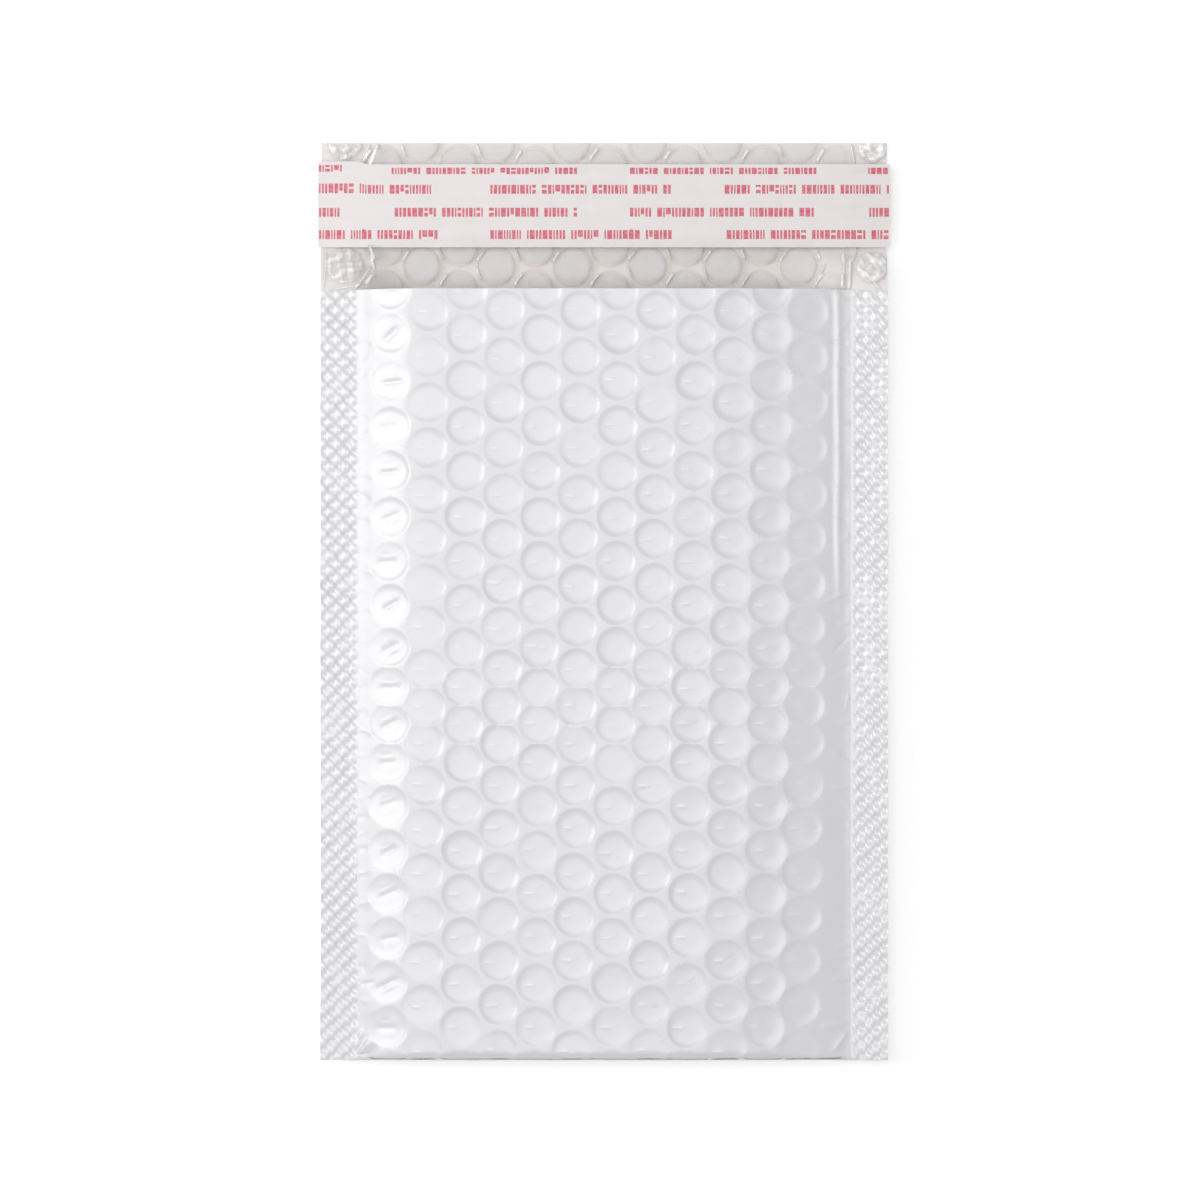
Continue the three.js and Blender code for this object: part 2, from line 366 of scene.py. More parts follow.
def flap_marks():
    centres, strength = [], []
    for k in range(13):
        x = -58.5 + 10.0 * k
        rows = [288.5, 245.5, 204.0, 163.0] if k % 2 == 0 else [265.0, 223.8, 182.6, 141.5]
        for py in rows:
            centres.append((x, float(px_y(py))))
            strength.append(0.55 if k == 12 else 1.0)
    return centres, strength


def back_marks():
    """Below the mouth the same sheet runs on down the back panel."""
    centres, strength = [], []
    for k in range(12):
        x = -58.5 + 10.0 * k
        y = float(px_y(288.5 if k % 2 == 0 else 265.0)) - 11.45
        while y > -118.5:
            centres.append((x, y))
            strength.append(0.5 if y < -114 else 1.0)
            y -= 11.45
    return centres, strength


class Creases:
    """Fine folds: each a straight ridge that fades at both ends."""

    def __init__(self):
        self.rows = []

    def add(self, p, q, width, height):
        self.rows.append((np.array(p, float), np.array(q, float), width, height))

    def points(self):
        out = []
        for p, q, w, _ in self.rows:
            length = np.linalg.norm(q - p)
            along = (q - p) / max(length, 1e-6)
            side = np.array([-along[1], along[0]])
            n = max(2, int(length / max(0.45, 1.1 * w)))
            t = np.linspace(0, 1, n + 1)[:, None]
            for off in (-1.5, -0.7, 0, 0.7, 1.5):
                out.append(p + (q - p) * t + side * off * w)
        return np.vstack(out) if out else np.zeros((0, 2))

    def height(self, u, v):
        h = np.zeros(len(u))
        order = np.argsort(v)
        sv = v[order]
        for p, q, w, a in self.rows:
            reach = 3.2 * w
            lo, hi = np.searchsorted(sv, [min(p[1], q[1]) - reach, max(p[1], q[1]) + reach])
            near = order[lo:hi]
            near = near[(u[near] > min(p[0], q[0]) - reach) & (u[near] < max(p[0], q[0]) + reach)]
            if not len(near):
                continue
            d = q - p
            length = np.linalg.norm(d)
            ru, rv = u[near] - p[0], v[near] - p[1]
            t = (ru * d[0] + rv * d[1]) / length**2
            across = (ru * -d[1] + rv * d[0]) / length
            taper = smooth(-0.02, 0.3, t) * smooth(1.02, 0.7, t)
            h[near] += a * taper * np.exp(-((across / w) ** 2))
        return h


# ---------------------------------------------------------------- materials
def material(name, roughness=0.5, **sockets):
    m = bpy.data.materials.new(name)
    m.use_nodes = True
    nt = m.node_tree
    p = nt.nodes["Principled BSDF"]
    p.inputs["Roughness"].default_value = roughness
    for key, value in sockets.items():
        p.inputs[key.replace("_", " ")].default_value = value
    return m, nt, p


def noise_node(nt, scale, detail=3.0, rough=0.5, stretch=None):
    coord = nt.nodes.new("ShaderNodeTexCoord")
    tex = nt.nodes.new("ShaderNodeTexNoise")
    tex.inputs["Scale"].default_value = scale
    tex.inputs["Detail"].default_value = detail
    tex.inputs["Roughness"].default_value = rough
    if stretch:
        mapping = nt.nodes.new("ShaderNodeMapping")
        mapping.inputs["Scale"].default_value = stretch
        nt.links.new(coord.outputs["Object"], mapping.inputs["Vector"])
        nt.links.new(mapping.outputs["Vector"], tex.inputs["Vector"])
    else:
        nt.links.new(coord.outputs["Object"], tex.inputs["Vector"])
    return tex.outputs["Fac"]


def mix_colour(nt, fac, a, b):
    n = nt.nodes.new("ShaderNodeMix")
    n.data_type = "RGBA"
    if isinstance(fac, float):
        n.inputs["Factor"].default_value = fac
    else:
        nt.links.new(fac, n.inputs["Factor"])
    for socket, value in ((n.inputs[6], a), (n.inputs[7], b)):
        if isinstance(value, tuple):
            socket.default_value = (*value, 1)
        else:
            nt.links.new(value, socket)
    return n.outputs[2]


def math_node(nt, op, a, b=None, clamp=False):
    n = nt.nodes.new("ShaderNodeMath")
    n.operation = op
    n.use_clamp = clamp
    for k, value in enumerate((a, b)):
        if value is None:
            continue
        if isinstance(value, (int, float)):
            n.inputs[k].default_value = value
        else:
            nt.links.new(value, n.inputs[k])
    return n.outputs[0]


def range_node(nt, value, lo, hi, to_lo, to_hi):
    n = nt.nodes.new("ShaderNodeMapRange")
    nt.links.new(value, n.inputs["Value"])
    for key, x in (("From Min", lo), ("From Max", hi), ("To Min", to_lo), ("To Max", to_hi)):
        n.inputs[key].default_value = x
    return n.outputs["Result"]


def attribute(nt, name):
    n = nt.nodes.new("ShaderNodeAttribute")
    n.attribute_name = name
    return n.outputs["Fac"]


def bump(nt, p, height, strength, distance):
    n = nt.nodes.new("ShaderNodeBump")
    n.inputs["Strength"].default_value = strength
    n.inputs["Distance"].default_value = distance
    nt.links.new(height, n.inputs["Height"])
    nt.links.new(n.outputs["Normal"], p.inputs["Normal"])


def film_material():
    m, nt, p = material("white_film", 0.33, Specular_IOR_Level=1.0)
    cloudy = noise_node(nt, 70, 3)
    grain = noise_node(nt, 1500, 2)
    base = mix_colour(nt, cloudy, (0.722, 0.722, 0.743), (0.697, 0.697, 0.718))
    # brighter where it is stuck to a bubble than over the web
    base = mix_colour(nt, attribute(nt, "disc"), base, (0.748, 0.748, 0.772))
    # painted light: the film is painted lighter towards the right seal and in both seals, where the slopes would
    # otherwise fall darker
    base = mix_colour(nt, attribute(nt, "painted_lift"), base, (0.82, 0.82, 0.84))
    # painted highlight: the film is painted whiter along sharp folds and along the pinched fold
    base = mix_colour(nt, attribute(nt, "painted_fold_glint"), base, (0.90, 0.90, 0.91))
    # painted shade: in the seals the recessed cells are painted greyer
    recess_shade = attribute(nt, "recess_shade")
    base = mix_colour(nt, math_node(nt, "MULTIPLY", recess_shade, 0.22, True), base, (0.60, 0.60, 0.605))
    # painted shade along the bottom fold
    base = mix_colour(nt, attribute(nt, "painted_fold_shade"), base, (0.22, 0.205, 0.195))
    nt.links.new(base, p.inputs["Base Color"])
    band = attribute(nt, "band")
    rough = range_node(nt, grain, 0.3, 0.7, 0.29, 0.31)
    rough = math_node(nt, "SUBTRACT", rough, math_node(nt, "MULTIPLY", band, 0.08))
    nt.links.new(rough, p.inputs["Roughness"])
    return m


def inside_material():
    m, nt, p = material("film_inside", 0.45)
    cloudy = noise_node(nt, 55, 3)
    grain = noise_node(nt, 1300, 2)
    base = mix_colour(nt, cloudy, (0.90, 0.848, 0.818), (0.86, 0.808, 0.778))
    nt.links.new(base, p.inputs["Base Color"])
    nt.links.new(range_node(nt, grain, 0.3, 0.7, 0.4, 0.52), p.inputs["Roughness"])
    bump(nt, p, grain, 0.1, 0.00006)
    return m


def bubble_material():
    m, nt, p = material("bubble_sheet", 0.12)
    p.inputs["IOR"].default_value = 1.75
    ring = attribute(nt, "ring")
    crushed_and_glint = attribute(nt, "crushed_and_glint")
    ridge = attribute(nt, "ridge")
    cloudy = noise_node(nt, 160, 2)
    glint = attribute(nt, "glint")
    base = mix_colour(nt, cloudy, (0.60, 0.615, 0.66), (0.54, 0.555, 0.60))
    # painted shade: a brownish ring is painted round the foot of each bubble
    base = mix_colour(nt, math_node(nt, "MULTIPLY", ring, 0.8, True), base, (0.62, 0.50, 0.44))
    # painted highlight: the clear sheet is painted white along its bright arcs and tight folds, and on the crushed
    # bubbles and their folds, which are partly crumpled white film and partly painted highlight
    base = mix_colour(nt, math_node(nt, "MAXIMUM", glint, crushed_and_glint), base, (0.98, 0.965, 0.955))
    nt.links.new(base, p.inputs["Base Color"])
    # the crowns are dull, the web between them nearly clear
    alpha = math_node(nt, "ADD", 0.07, math_node(nt, "MULTIPLY", ring, 0.09))
    alpha = math_node(nt, "ADD", alpha, math_node(nt, "MULTIPLY", attribute(nt, "crown"), 0.17))
    alpha = math_node(nt, "ADD", alpha, math_node(nt, "MULTIPLY", ridge, 0.02))
    alpha = math_node(nt, "ADD", alpha, math_node(nt, "MULTIPLY", glint, 0.80))
    alpha = math_node(nt, "ADD", alpha, math_node(nt, "MULTIPLY", crushed_and_glint, 0.75), True)
    nt.links.new(alpha, p.inputs["Alpha"])
    nt.links.new(range_node(nt, cloudy, 0.3, 0.7, 0.08, 0.17), p.inputs["Roughness"])
    bump(nt, p, noise_node(nt, 900, 2), 0.08, 0.00006)
    return m


def liner_material():
    m, nt, p = material("printed_liner", 0.34)
    streak = noise_node(nt, 60, 3, 0.55, (1.0, 9.0, 1.0))
    base = mix_colour(nt, streak, (0.812, 0.770, 0.762), (0.782, 0.742, 0.734))
    nt.links.new(base, p.inputs["Base Color"])
    nt.links.new(range_node(nt, streak, 0.3, 0.7, 0.28, 0.4), p.inputs["Roughness"])
    bump(nt, p, streak, 0.12, 0.0001)
    return m


def ink_material():
    m, nt, p = material("red_print", 0.42)
    patchy = noise_node(nt, 1400, 3, 0.7)
    k = range_node(nt, patchy, 0.42, 0.68, 0.0, 0.65)
    base = mix_colour(nt, k, (0.65, 0.085, 0.145), (0.78, 0.42, 0.46))
    nt.links.new(base, p.inputs["Base Color"])
    nt.links.new(range_node(nt, patchy, 0.3, 0.7, 0.34, 0.5), p.inputs["Roughness"])
    return m


def glue_material():
    m, nt, p = material("adhesive", 0.2)
    lumps = noise_node(nt, 400, 3)
    base = mix_colour(nt, lumps, (0.80, 0.73, 0.56), (0.72, 0.64, 0.46))
    nt.links.new(base, p.inputs["Base Color"])
    nt.links.new(range_node(nt, lumps, 0.3, 0.7, 0.14, 0.28), p.inputs["Roughness"])
    bump(nt, p, lumps, 0.3, 0.0002)
    return m


def floor_material():
    m, nt, p = material("floor", 0.9)
    soft = noise_node(nt, 3, 2)
    nt.links.new(mix_colour(nt, soft, (0.93, 0.93, 0.93), (0.92, 0.92, 0.92)), p.inputs["Base Color"])
    p.inputs["Specular IOR Level"].default_value = 0.1
    # a lit white table top
    p.inputs["Emission Color"].default_value = (1, 1, 1, 1)
    p.inputs["Emission Strength"].default_value = 0.30
    return m


WHITE, INSIDE, BUBBLE = film_material(), inside_material(), bubble_material()
LINER, INK, GLUE, FLOOR = liner_material(), ink_material(), glue_material(), floor_material()


# ---------------------------------------------------------------- outer film
LEAN = math.radians(-22)


def seal_grid(y0, y1, step_x, step_y, inner=SEAL_X - 1.2):
    xs = np.arange(inner, WIDTH / 2 - 0.1, step_x)
    ys = np.arange(y0 + step_y / 2, y1, step_y)
    gx, gy = np.meshgrid(xs, ys)
    one = np.stack([gx.ravel(), gy.ravel()], 1)
    return np.vstack([one, one * (-1, 1)])


def dent(q, du, dv):
    """A round mark: a bowl that steepens to its rim, sooner on its lower right side than on its upper left."""
    turn = (du * math.cos(LEAN) + dv * math.sin(LEAN)) / np.maximum(np.hypot(du, dv), 1e-6)
    bowl = (1 + 0.50 * turn * np.clip(q, 0, 1)) * (1 - np.clip(q, 0, 1) ** (5.1 - 0.9 * turn))
    return -bowl + 0.03 * np.exp(-(((q - 1.05) / 0.045) ** 2))


def long_fold(u, v):
    """The pinched fold that runs down beside the right seal, from the mouth to past the middle."""
    line = 61.7 + 0.004 * (MOUTH - v) + 0.35 * Noise(38, 16.0)(0 * v, v)
    length = smooth(MOUTH + 1, MOUTH - 2, v) * smooth(-6, 14, v) * (1 + 0.15 * Noise(39, 7.0)(0 * v, v))
    return length * np.exp(-(((u - line) / np.where(u < line, 0.9, 0.75)) ** 2))


def emboss(u, y):
    """(height, painted shade of the recessed cells, band) of the welded seals: recessed upright cells between bosses.
    """
    inward = seal_edge(y, np.sign(u)) - np.abs(u)
    band = smooth(0.25, -0.35, inward)
    f = lattice(u, y)
    uneven = np.clip(1.0 + 0.40 * Noise(35, (1.9, 3.6))(u, y) + 0.2 * MILD(u * 3.1, y * 1.7), 0.4, 1.35)
    return -0.26 * band * uneven * f, band * smooth(-0.1, 0.6, f) * uneven, band


def sheet_piece(name, front, marks, creases, low, high, segs, seal_step, inner_step, dent_depth, deepest):
    qs = [0, 0.27, 0.50, 0.67, 0.79, 0.88, 0.945, 0.995, 1.03, 1.08]
    counts = [0, 7, 12, 16, segs, segs, segs, segs, segs, segs]
    rim = edge_points(low, high, 0.62)
    parts = [creases.points(), marks.rings(qs, counts)]
    parts.append(seal_grid(low[1], high[1], *seal_step))
    if front:
        parts.append(np.stack(np.meshgrid(np.arange(59.6, 64.2, 0.34), np.arange(-8, MOUTH, 0.9)), -1).reshape(-1, 2))
    pts = np.vstack(parts)
    inside = (pts > np.array(low) - 0.01).all(1) & (pts < np.array(high) + 0.01).all(1)
    pts = thin(pts[inside], 0.13)
    pts = np.vstack([pts, fill_points(low, high, 1.35, np.vstack([pts, rim]), 0.75)])
    uv, faces, ring = triangulate(rim, pts, low, high)
    u, v = uv[:, 0], uv[:, 1]
    q, which = marks.nearest(u, v)
    k = marks.k[which]
    h = dent_depth * k * dent(q, u - marks.c[which, 0], v - marks.c[which, 1])
    tilt = (marks.tilt[which, 0] * (u - marks.c[which, 0]) + marks.tilt[which, 1] * (v - marks.c[which, 1])) * smooth(1.0, 0.8, q)
    flat_band = smooth(SEAL_X + 0.5, SEAL_X - 2.0, np.abs(u))
    h = (h + tilt) * flat_band
    folds = creases.height(u, v)
    pinch = long_fold(u, v) if front else 0 * u
    h = h + folds + 0.34 * pinch
    h = h + 0.035 * Noise(31, 2.6)(u, v) * flat_band + 0.05 * Noise(32, 6.5)(u, v) * flat_band
    y = place(u, v, front)[:, 1]
    e, recess_shade, band = emboss(u, y)
    if front:
        h = h + e
    else:
        on_flap = smooth(MOUTH - 1, MOUTH + 2, v)
        h = h + e * (1 - on_flap)
        recess_shade = recess_shade * (1 - on_flap)
    outer = surface(u, v, front, h)
    if not front:
        outer[:, 2] = np.maximum(outer[:, 2], 0.0)
    # the sheet's other face is smooth
    coarse = fill_points(low, high, inner_step, np.vstack([rim, rim]), 0.5)
    near_cut = marks.rings(qs, counts)
    near_cut = near_cut[(near_cut[:, 1] > high[1] - 9) & (near_cut[:, 1] < high[1])]
    near_cut = near_cut[np.abs(near_cut[:, 0]) < SEAL_X]
    side = seal_grid(low[1], high[1], 1.1, 2.2, SEAL_X - 4)
    uv2, faces2, ring2 = triangulate(rim, thin(np.vstack([near_cut, coarse, side]), 0.3), low, high)
    a, b = uv2[:, 0], uv2[:, 1]
    close = smooth(7.0, 3.0, high[1] - b)
    bulk = smooth(SEAL_X + 0.6, SEAL_X - 2.5, np.abs(a))
    deep = (HALF_SEAL - 0.01) * (1 - bulk) + bulk * (0.13 * close + deepest * (1 - close))
    q2, which2 = marks.nearest(a, b)
    follow = dent_depth * marks.k[which2] * dent(q2, a - marks.c[which2, 0], b - marks.c[which2, 1]) * close * bulk
    inner = surface(a, b, front, follow - deep)
    n = len(outer)
    verts = np.vstack([outer, inner])
    # rim strip, left out along the bottom fold where the two panels are one sheet
    strip = []
    for i in range(len(rim)):
        j = (i + 1) % len(rim)
        if rim[i][1] <= low[1] + 1e-6 and rim[j][1] <= low[1] + 1e-6:
            continue
        a0, a1, b0, b1 = ring[i], ring[j], n + ring2[i], n + ring2[j]
        strip += [(a0, b0, b1), (a0, b1, a1)]
    strip = np.array(strip)
    up = faces if front else faces[:, ::-1]
    down = (faces2[:, ::-1] if front else faces2) + n
    if not front:
        strip = strip[:, ::-1]
    all_faces = np.vstack([up, down, strip])
    slots = np.concatenate([np.zeros(len(up)), np.ones(len(down)), np.zeros(len(strip))])
    zero = np.zeros(len(inner))
    # painted shade: one thin dark line is painted along the bottom fold, between the seals
    painted_fold_shade = smooth(V_TIP + 3.9, V_TIP + 3.4, v) * smooth(V_TIP + 2.4, V_TIP + 2.9, v)
    painted_fold_shade = painted_fold_shade * smooth(64.0, 61.5, np.abs(u)) * (1 if front else 0)
    disc = smooth(1.0, 0.93, q) * flat_band * np.clip(k, 0, 1)
    # painted highlight along the folds and the pinched fold beside the right seal
    painted_fold_glint = 0.75 * smooth(0.02, 0.08, folds) * smooth(1.0, 0.9, q) * smooth(0.16, 0.10, np.abs(folds)) * flat_band
    painted_fold_glint = np.maximum(painted_fold_glint, np.clip(0.85 * pinch, 0, 1))
    # painted light: lighter in the seals and towards the right seal
    painted_lift = np.maximum(0.62 * band, 0.45 * smooth(42, 58, u) * (1 if front else 0))
    attrs = {"recess_shade": recess_shade, "band": band, "painted_fold_shade": painted_fold_shade, "disc": disc, "painted_fold_glint": painted_fold_glint, "painted_lift": painted_lift}
    attrs = {key: np.concatenate([value, zero]) for key, value in attrs.items()}
    obj = build(name, verts, all_faces, [WHITE, INSIDE], slots, attrs)
    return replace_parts(obj, "outer_film")


def front_creases(marks):
    rng = np.random.default_rng(5)
    c = Creases()
    for x, y in marks.c:
        first, last = x < -52, x > 45
        # one short fold in each disc, left of its middle and nearly level; strong and slanted in the first column
        a = abs(rng.normal(0.34, 0.24)) if first else rng.normal(-0.04, 0.06)
        length = rng.uniform(5.5, 7.6) if first else rng.uniform(2.8, 4.2)
        mx, my = x - (rng.uniform(-0.4, 0.6) if first else rng.uniform(1.6, 2.4)), y + rng.normal(0.0, 0.3)
        d = np.array([math.cos(a), math.sin(a)]) * length / 2
        if first:
            c.add((mx - d[0], my - d[1]), (mx + d[0], my + d[1]), rng.uniform(0.6, 0.9), -rng.uniform(0.20, 0.34))
            side = rng.choice([-1.0, 1.0]) * rng.uniform(1.3, 2.2)
            mx, my = mx - side * math.sin(a), my + side * math.cos(a)
            c.add((mx - 0.6 * d[0], my - 0.6 * d[1]), (mx + 0.6 * d[0], my + 0.6 * d[1]), 0.5, -rng.uniform(0.03, 0.09))
        elif rng.random() < 0.85:
            c.add((mx - d[0], my - d[1]), (mx + d[0], my + d[1]), rng.uniform(0.24, 0.32), rng.uniform(0.05, 0.10) * (0.6 if last else 1.0))
        if not first and rng.random() < 0.35:
            a = rng.normal(0.1, 0.3)
            mx, my = x + rng.normal(0.8, 1.2), y + rng.normal(0, 1.6)
            d = np.array([math.cos(a), math.sin(a)]) * rng.uniform(1.0, 2.0)
            c.add((mx - d[0], my - d[1]), (mx + d[0], my + d[1]), 0.35, rng.uniform(-0.05, 0.05))
    for side in (-1, 1):
        y = MOUTH - 3
        while y > -112:
            length = rng.uniform(2.5, 5.5) if side < 0 else rng.uniform(3.5, 8.0)
            a = rng.normal(0, 0.4)
            x0 = side * (SEAL_X - rng.uniform(-0.4, 0.6))
            amp = rng.uniform(0.03, 0.09) if side < 0 else rng.uniform(0.05, 0.14)
            c.add((x0, y), (x0 - side * length * math.cos(a), y + length * math.sin(a)), rng.uniform(0.4, 0.7), amp * (1 if rng.random() < 0.7 else -1))
            y -= rng.uniform(3, 8)
    # the pinched corners at the bottom
    c.add((-60.2, -117.0), (-63.6, -122.2), 0.55, -0.45)
    c.add((-61.6, -115.6), (-65.2, -121.0), 0.6, 0.5)
    c.add((-63.6, -113.0), (-66.0, -119.0), 0.5, 0.3)
    c.add((64.5, -113.5), (60.5, -119.5), 0.6, 0.25)
    return c


def back_creases(marks):
    rng = np.random.default_rng(6)
    c = Creases()
    for i, (x, y) in enumerate(marks.c):
        if rng.random() < 0.6:
            a = rng.normal(0, 0.2)
            length = rng.uniform(2, 4)
            d = np.array([math.cos(a), math.sin(a)]) * length / 2
            c.add((x - d[0], y - d[1]), (x + d[0], y + d[1]), 0.35, rng.uniform(0.03, 0.07))
    for side in (-1, 1):
        y = MOUTH
        while y > -112:
            length = rng.uniform(3, 6)
            a = rng.normal(0, 0.35)
            x0 = side * (SEAL_X - 0.5)
            c.add((x0, y), (x0 - side * length * math.cos(a), y + length * math.sin(a)), 0.5, rng.uniform(0.06, 0.15))
            y -= rng.uniform(4, 9)
    return c


front = Marks(*[front_marks()[0], 5.28, front_marks()[1]], seed=21)
film_front = sheet_piece(
    "film_front", True, front, front_creases(front), (-WIDTH / 2, V_TIP), (WIDTH / 2, MOUTH), 28, (0.40, 0.44), 2.4, 0.50, 0.9
)
centres = flap_marks()[0] + back_marks()[0]
strengths = flap_marks()[1] + back_marks()[1]
back = Marks(centres, 5.0, strengths, seed=22)
film_back = sheet_piece(
    "film_back_and_flap", False, back, back_creases(back), (-WIDTH / 2, V_TIP), (WIDTH / 2, END), 22, (0.5, 0.5), 2.2, 0.26, 0.46
)


# ---------------------------------------------------------------- bubble lining
DOME_Q = [0, 0.25, 0.48, 0.68, 0.80, 0.86, 0.90, 0.925, 0.945, 0.962, 0.978, 0.992, 1.01, 1.04, 1.07, 1.10, 1.13, 1.17]
DOME_H = [1, 1.0, 0.998, 0.993, 0.985, 0.972, 0.95, 0.92, 0.87, 0.79, 0.62, 0.34, 0.10, 0.04, 0.015, 0.0, 0.0, 0.0]
CRUSHED = [(-68.7, float(px_y(266)), 4.9), (-68.7, float(px_y(141)), 4.7), (71.0, float(px_y(268)), 4.2), (71.2, float(px_y(146)), 4.0)]


def crumple(u, v, seed):
    """Flat facets that meet in sharp folds, from -1 to 1."""
    rng = np.random.default_rng(seed)
    total = np.zeros(len(u))
    for length, amount in ((4.1, 0.42), (2.9, 0.34), (2.1, 0.26), (1.5, 0.16), (1.1, 0.09)):
        a = rng.uniform(0, math.pi)
        t = (u * math.cos(a) + v * math.sin(a)) / length + rng.uniform(0, 1) + 0.2 * Noise(seed + 7, 2.5)(u, v)
        total += amount * (4 * np.abs((t % 1) - 0.5) - 1)
    return total


def second_nearest(marks, u, v):
    """How far out each point is in its nearest and in its second nearest mark."""
    best = np.full((2, len(u)), 9.0)
    order = np.argsort(v)
    sv = v[order]
    for i, (cx, cy) in enumerate(marks.c):
        r = marks.r[i] * 2.4
        lo, hi = np.searchsorted(sv, [cy - r, cy + r])
        near = order[lo:hi]
        near = near[np.abs(u[near] - cx) < r]
        q = np.hypot(u[near] - cx, v[near] - cy) / marks.r[i]
        first = q < best[0, near]
        best[1, near] = np.where(first, best[0, near], np.minimum(best[1, near], q))
        best[0, near] = np.where(first, q, best[0, near])
    return best


def flap_creases():
    """Folds in the flap's clear sheet beside the crushed bubbles."""
    c = Creases()

    def px(x0, y0, x1, y1, width, height):
        c.add((float(px_x(x0)), float(px_y(y0))), (float(px_x(x1)), float(px_y(y1))), width, height)

    px(378, 139, 368, 166, 0.35, 0.75)
    px(370, 139, 360, 166, 0.30, 0.55)
    px(366, 246, 374, 272, 0.30, 0.55)
    px(372, 262, 352, 292, 0.30, 0.45)
    px(846, 250, 845, 292, 0.32, 0.70)
    px(852, 254, 851, 292, 0.28, 0.60)
    px(858, 246, 853, 264, 0.25, 0.55)
    px(828, 262, 818, 282, 0.28, 0.55)
    px(862, 270, 884, 292, 0.30, 0.40)
    px(852, 140, 856, 165, 0.30, 0.50)
    px(326, 246, 323, 292, 0.35, 0.30)
    px(362, 284, 326, 290, 0.30, 0.35)
    return c


def flap_glints(marks):
    """Thin tight folds along each bubble's left side, a slanted one above and a weaker one below; lining_piece paints
    them bright as a painted highlight.
    """
    rng = np.random.default_rng(8)
    c = Creases()
    for x, y in marks.c:
        if rng.random() < 0.92:
            slant = math.radians(rng.normal(56, 3))
            d = np.array([math.cos(slant), math.sin(slant)]) * rng.uniform(1.9, 2.6)
            mid = np.array([x - 4.22, y + 2.78]) + rng.normal(0, 0.08, 2)
            c.add(mid - d, mid + d, 0.32, rng.uniform(0.10, 0.15))
        if rng.random() < 0.5:
            c.add((x - 5.45, y + 0.5), (x - 3.8, y - 4.2), 0.26, rng.uniform(0.05, 0.09))
    return c


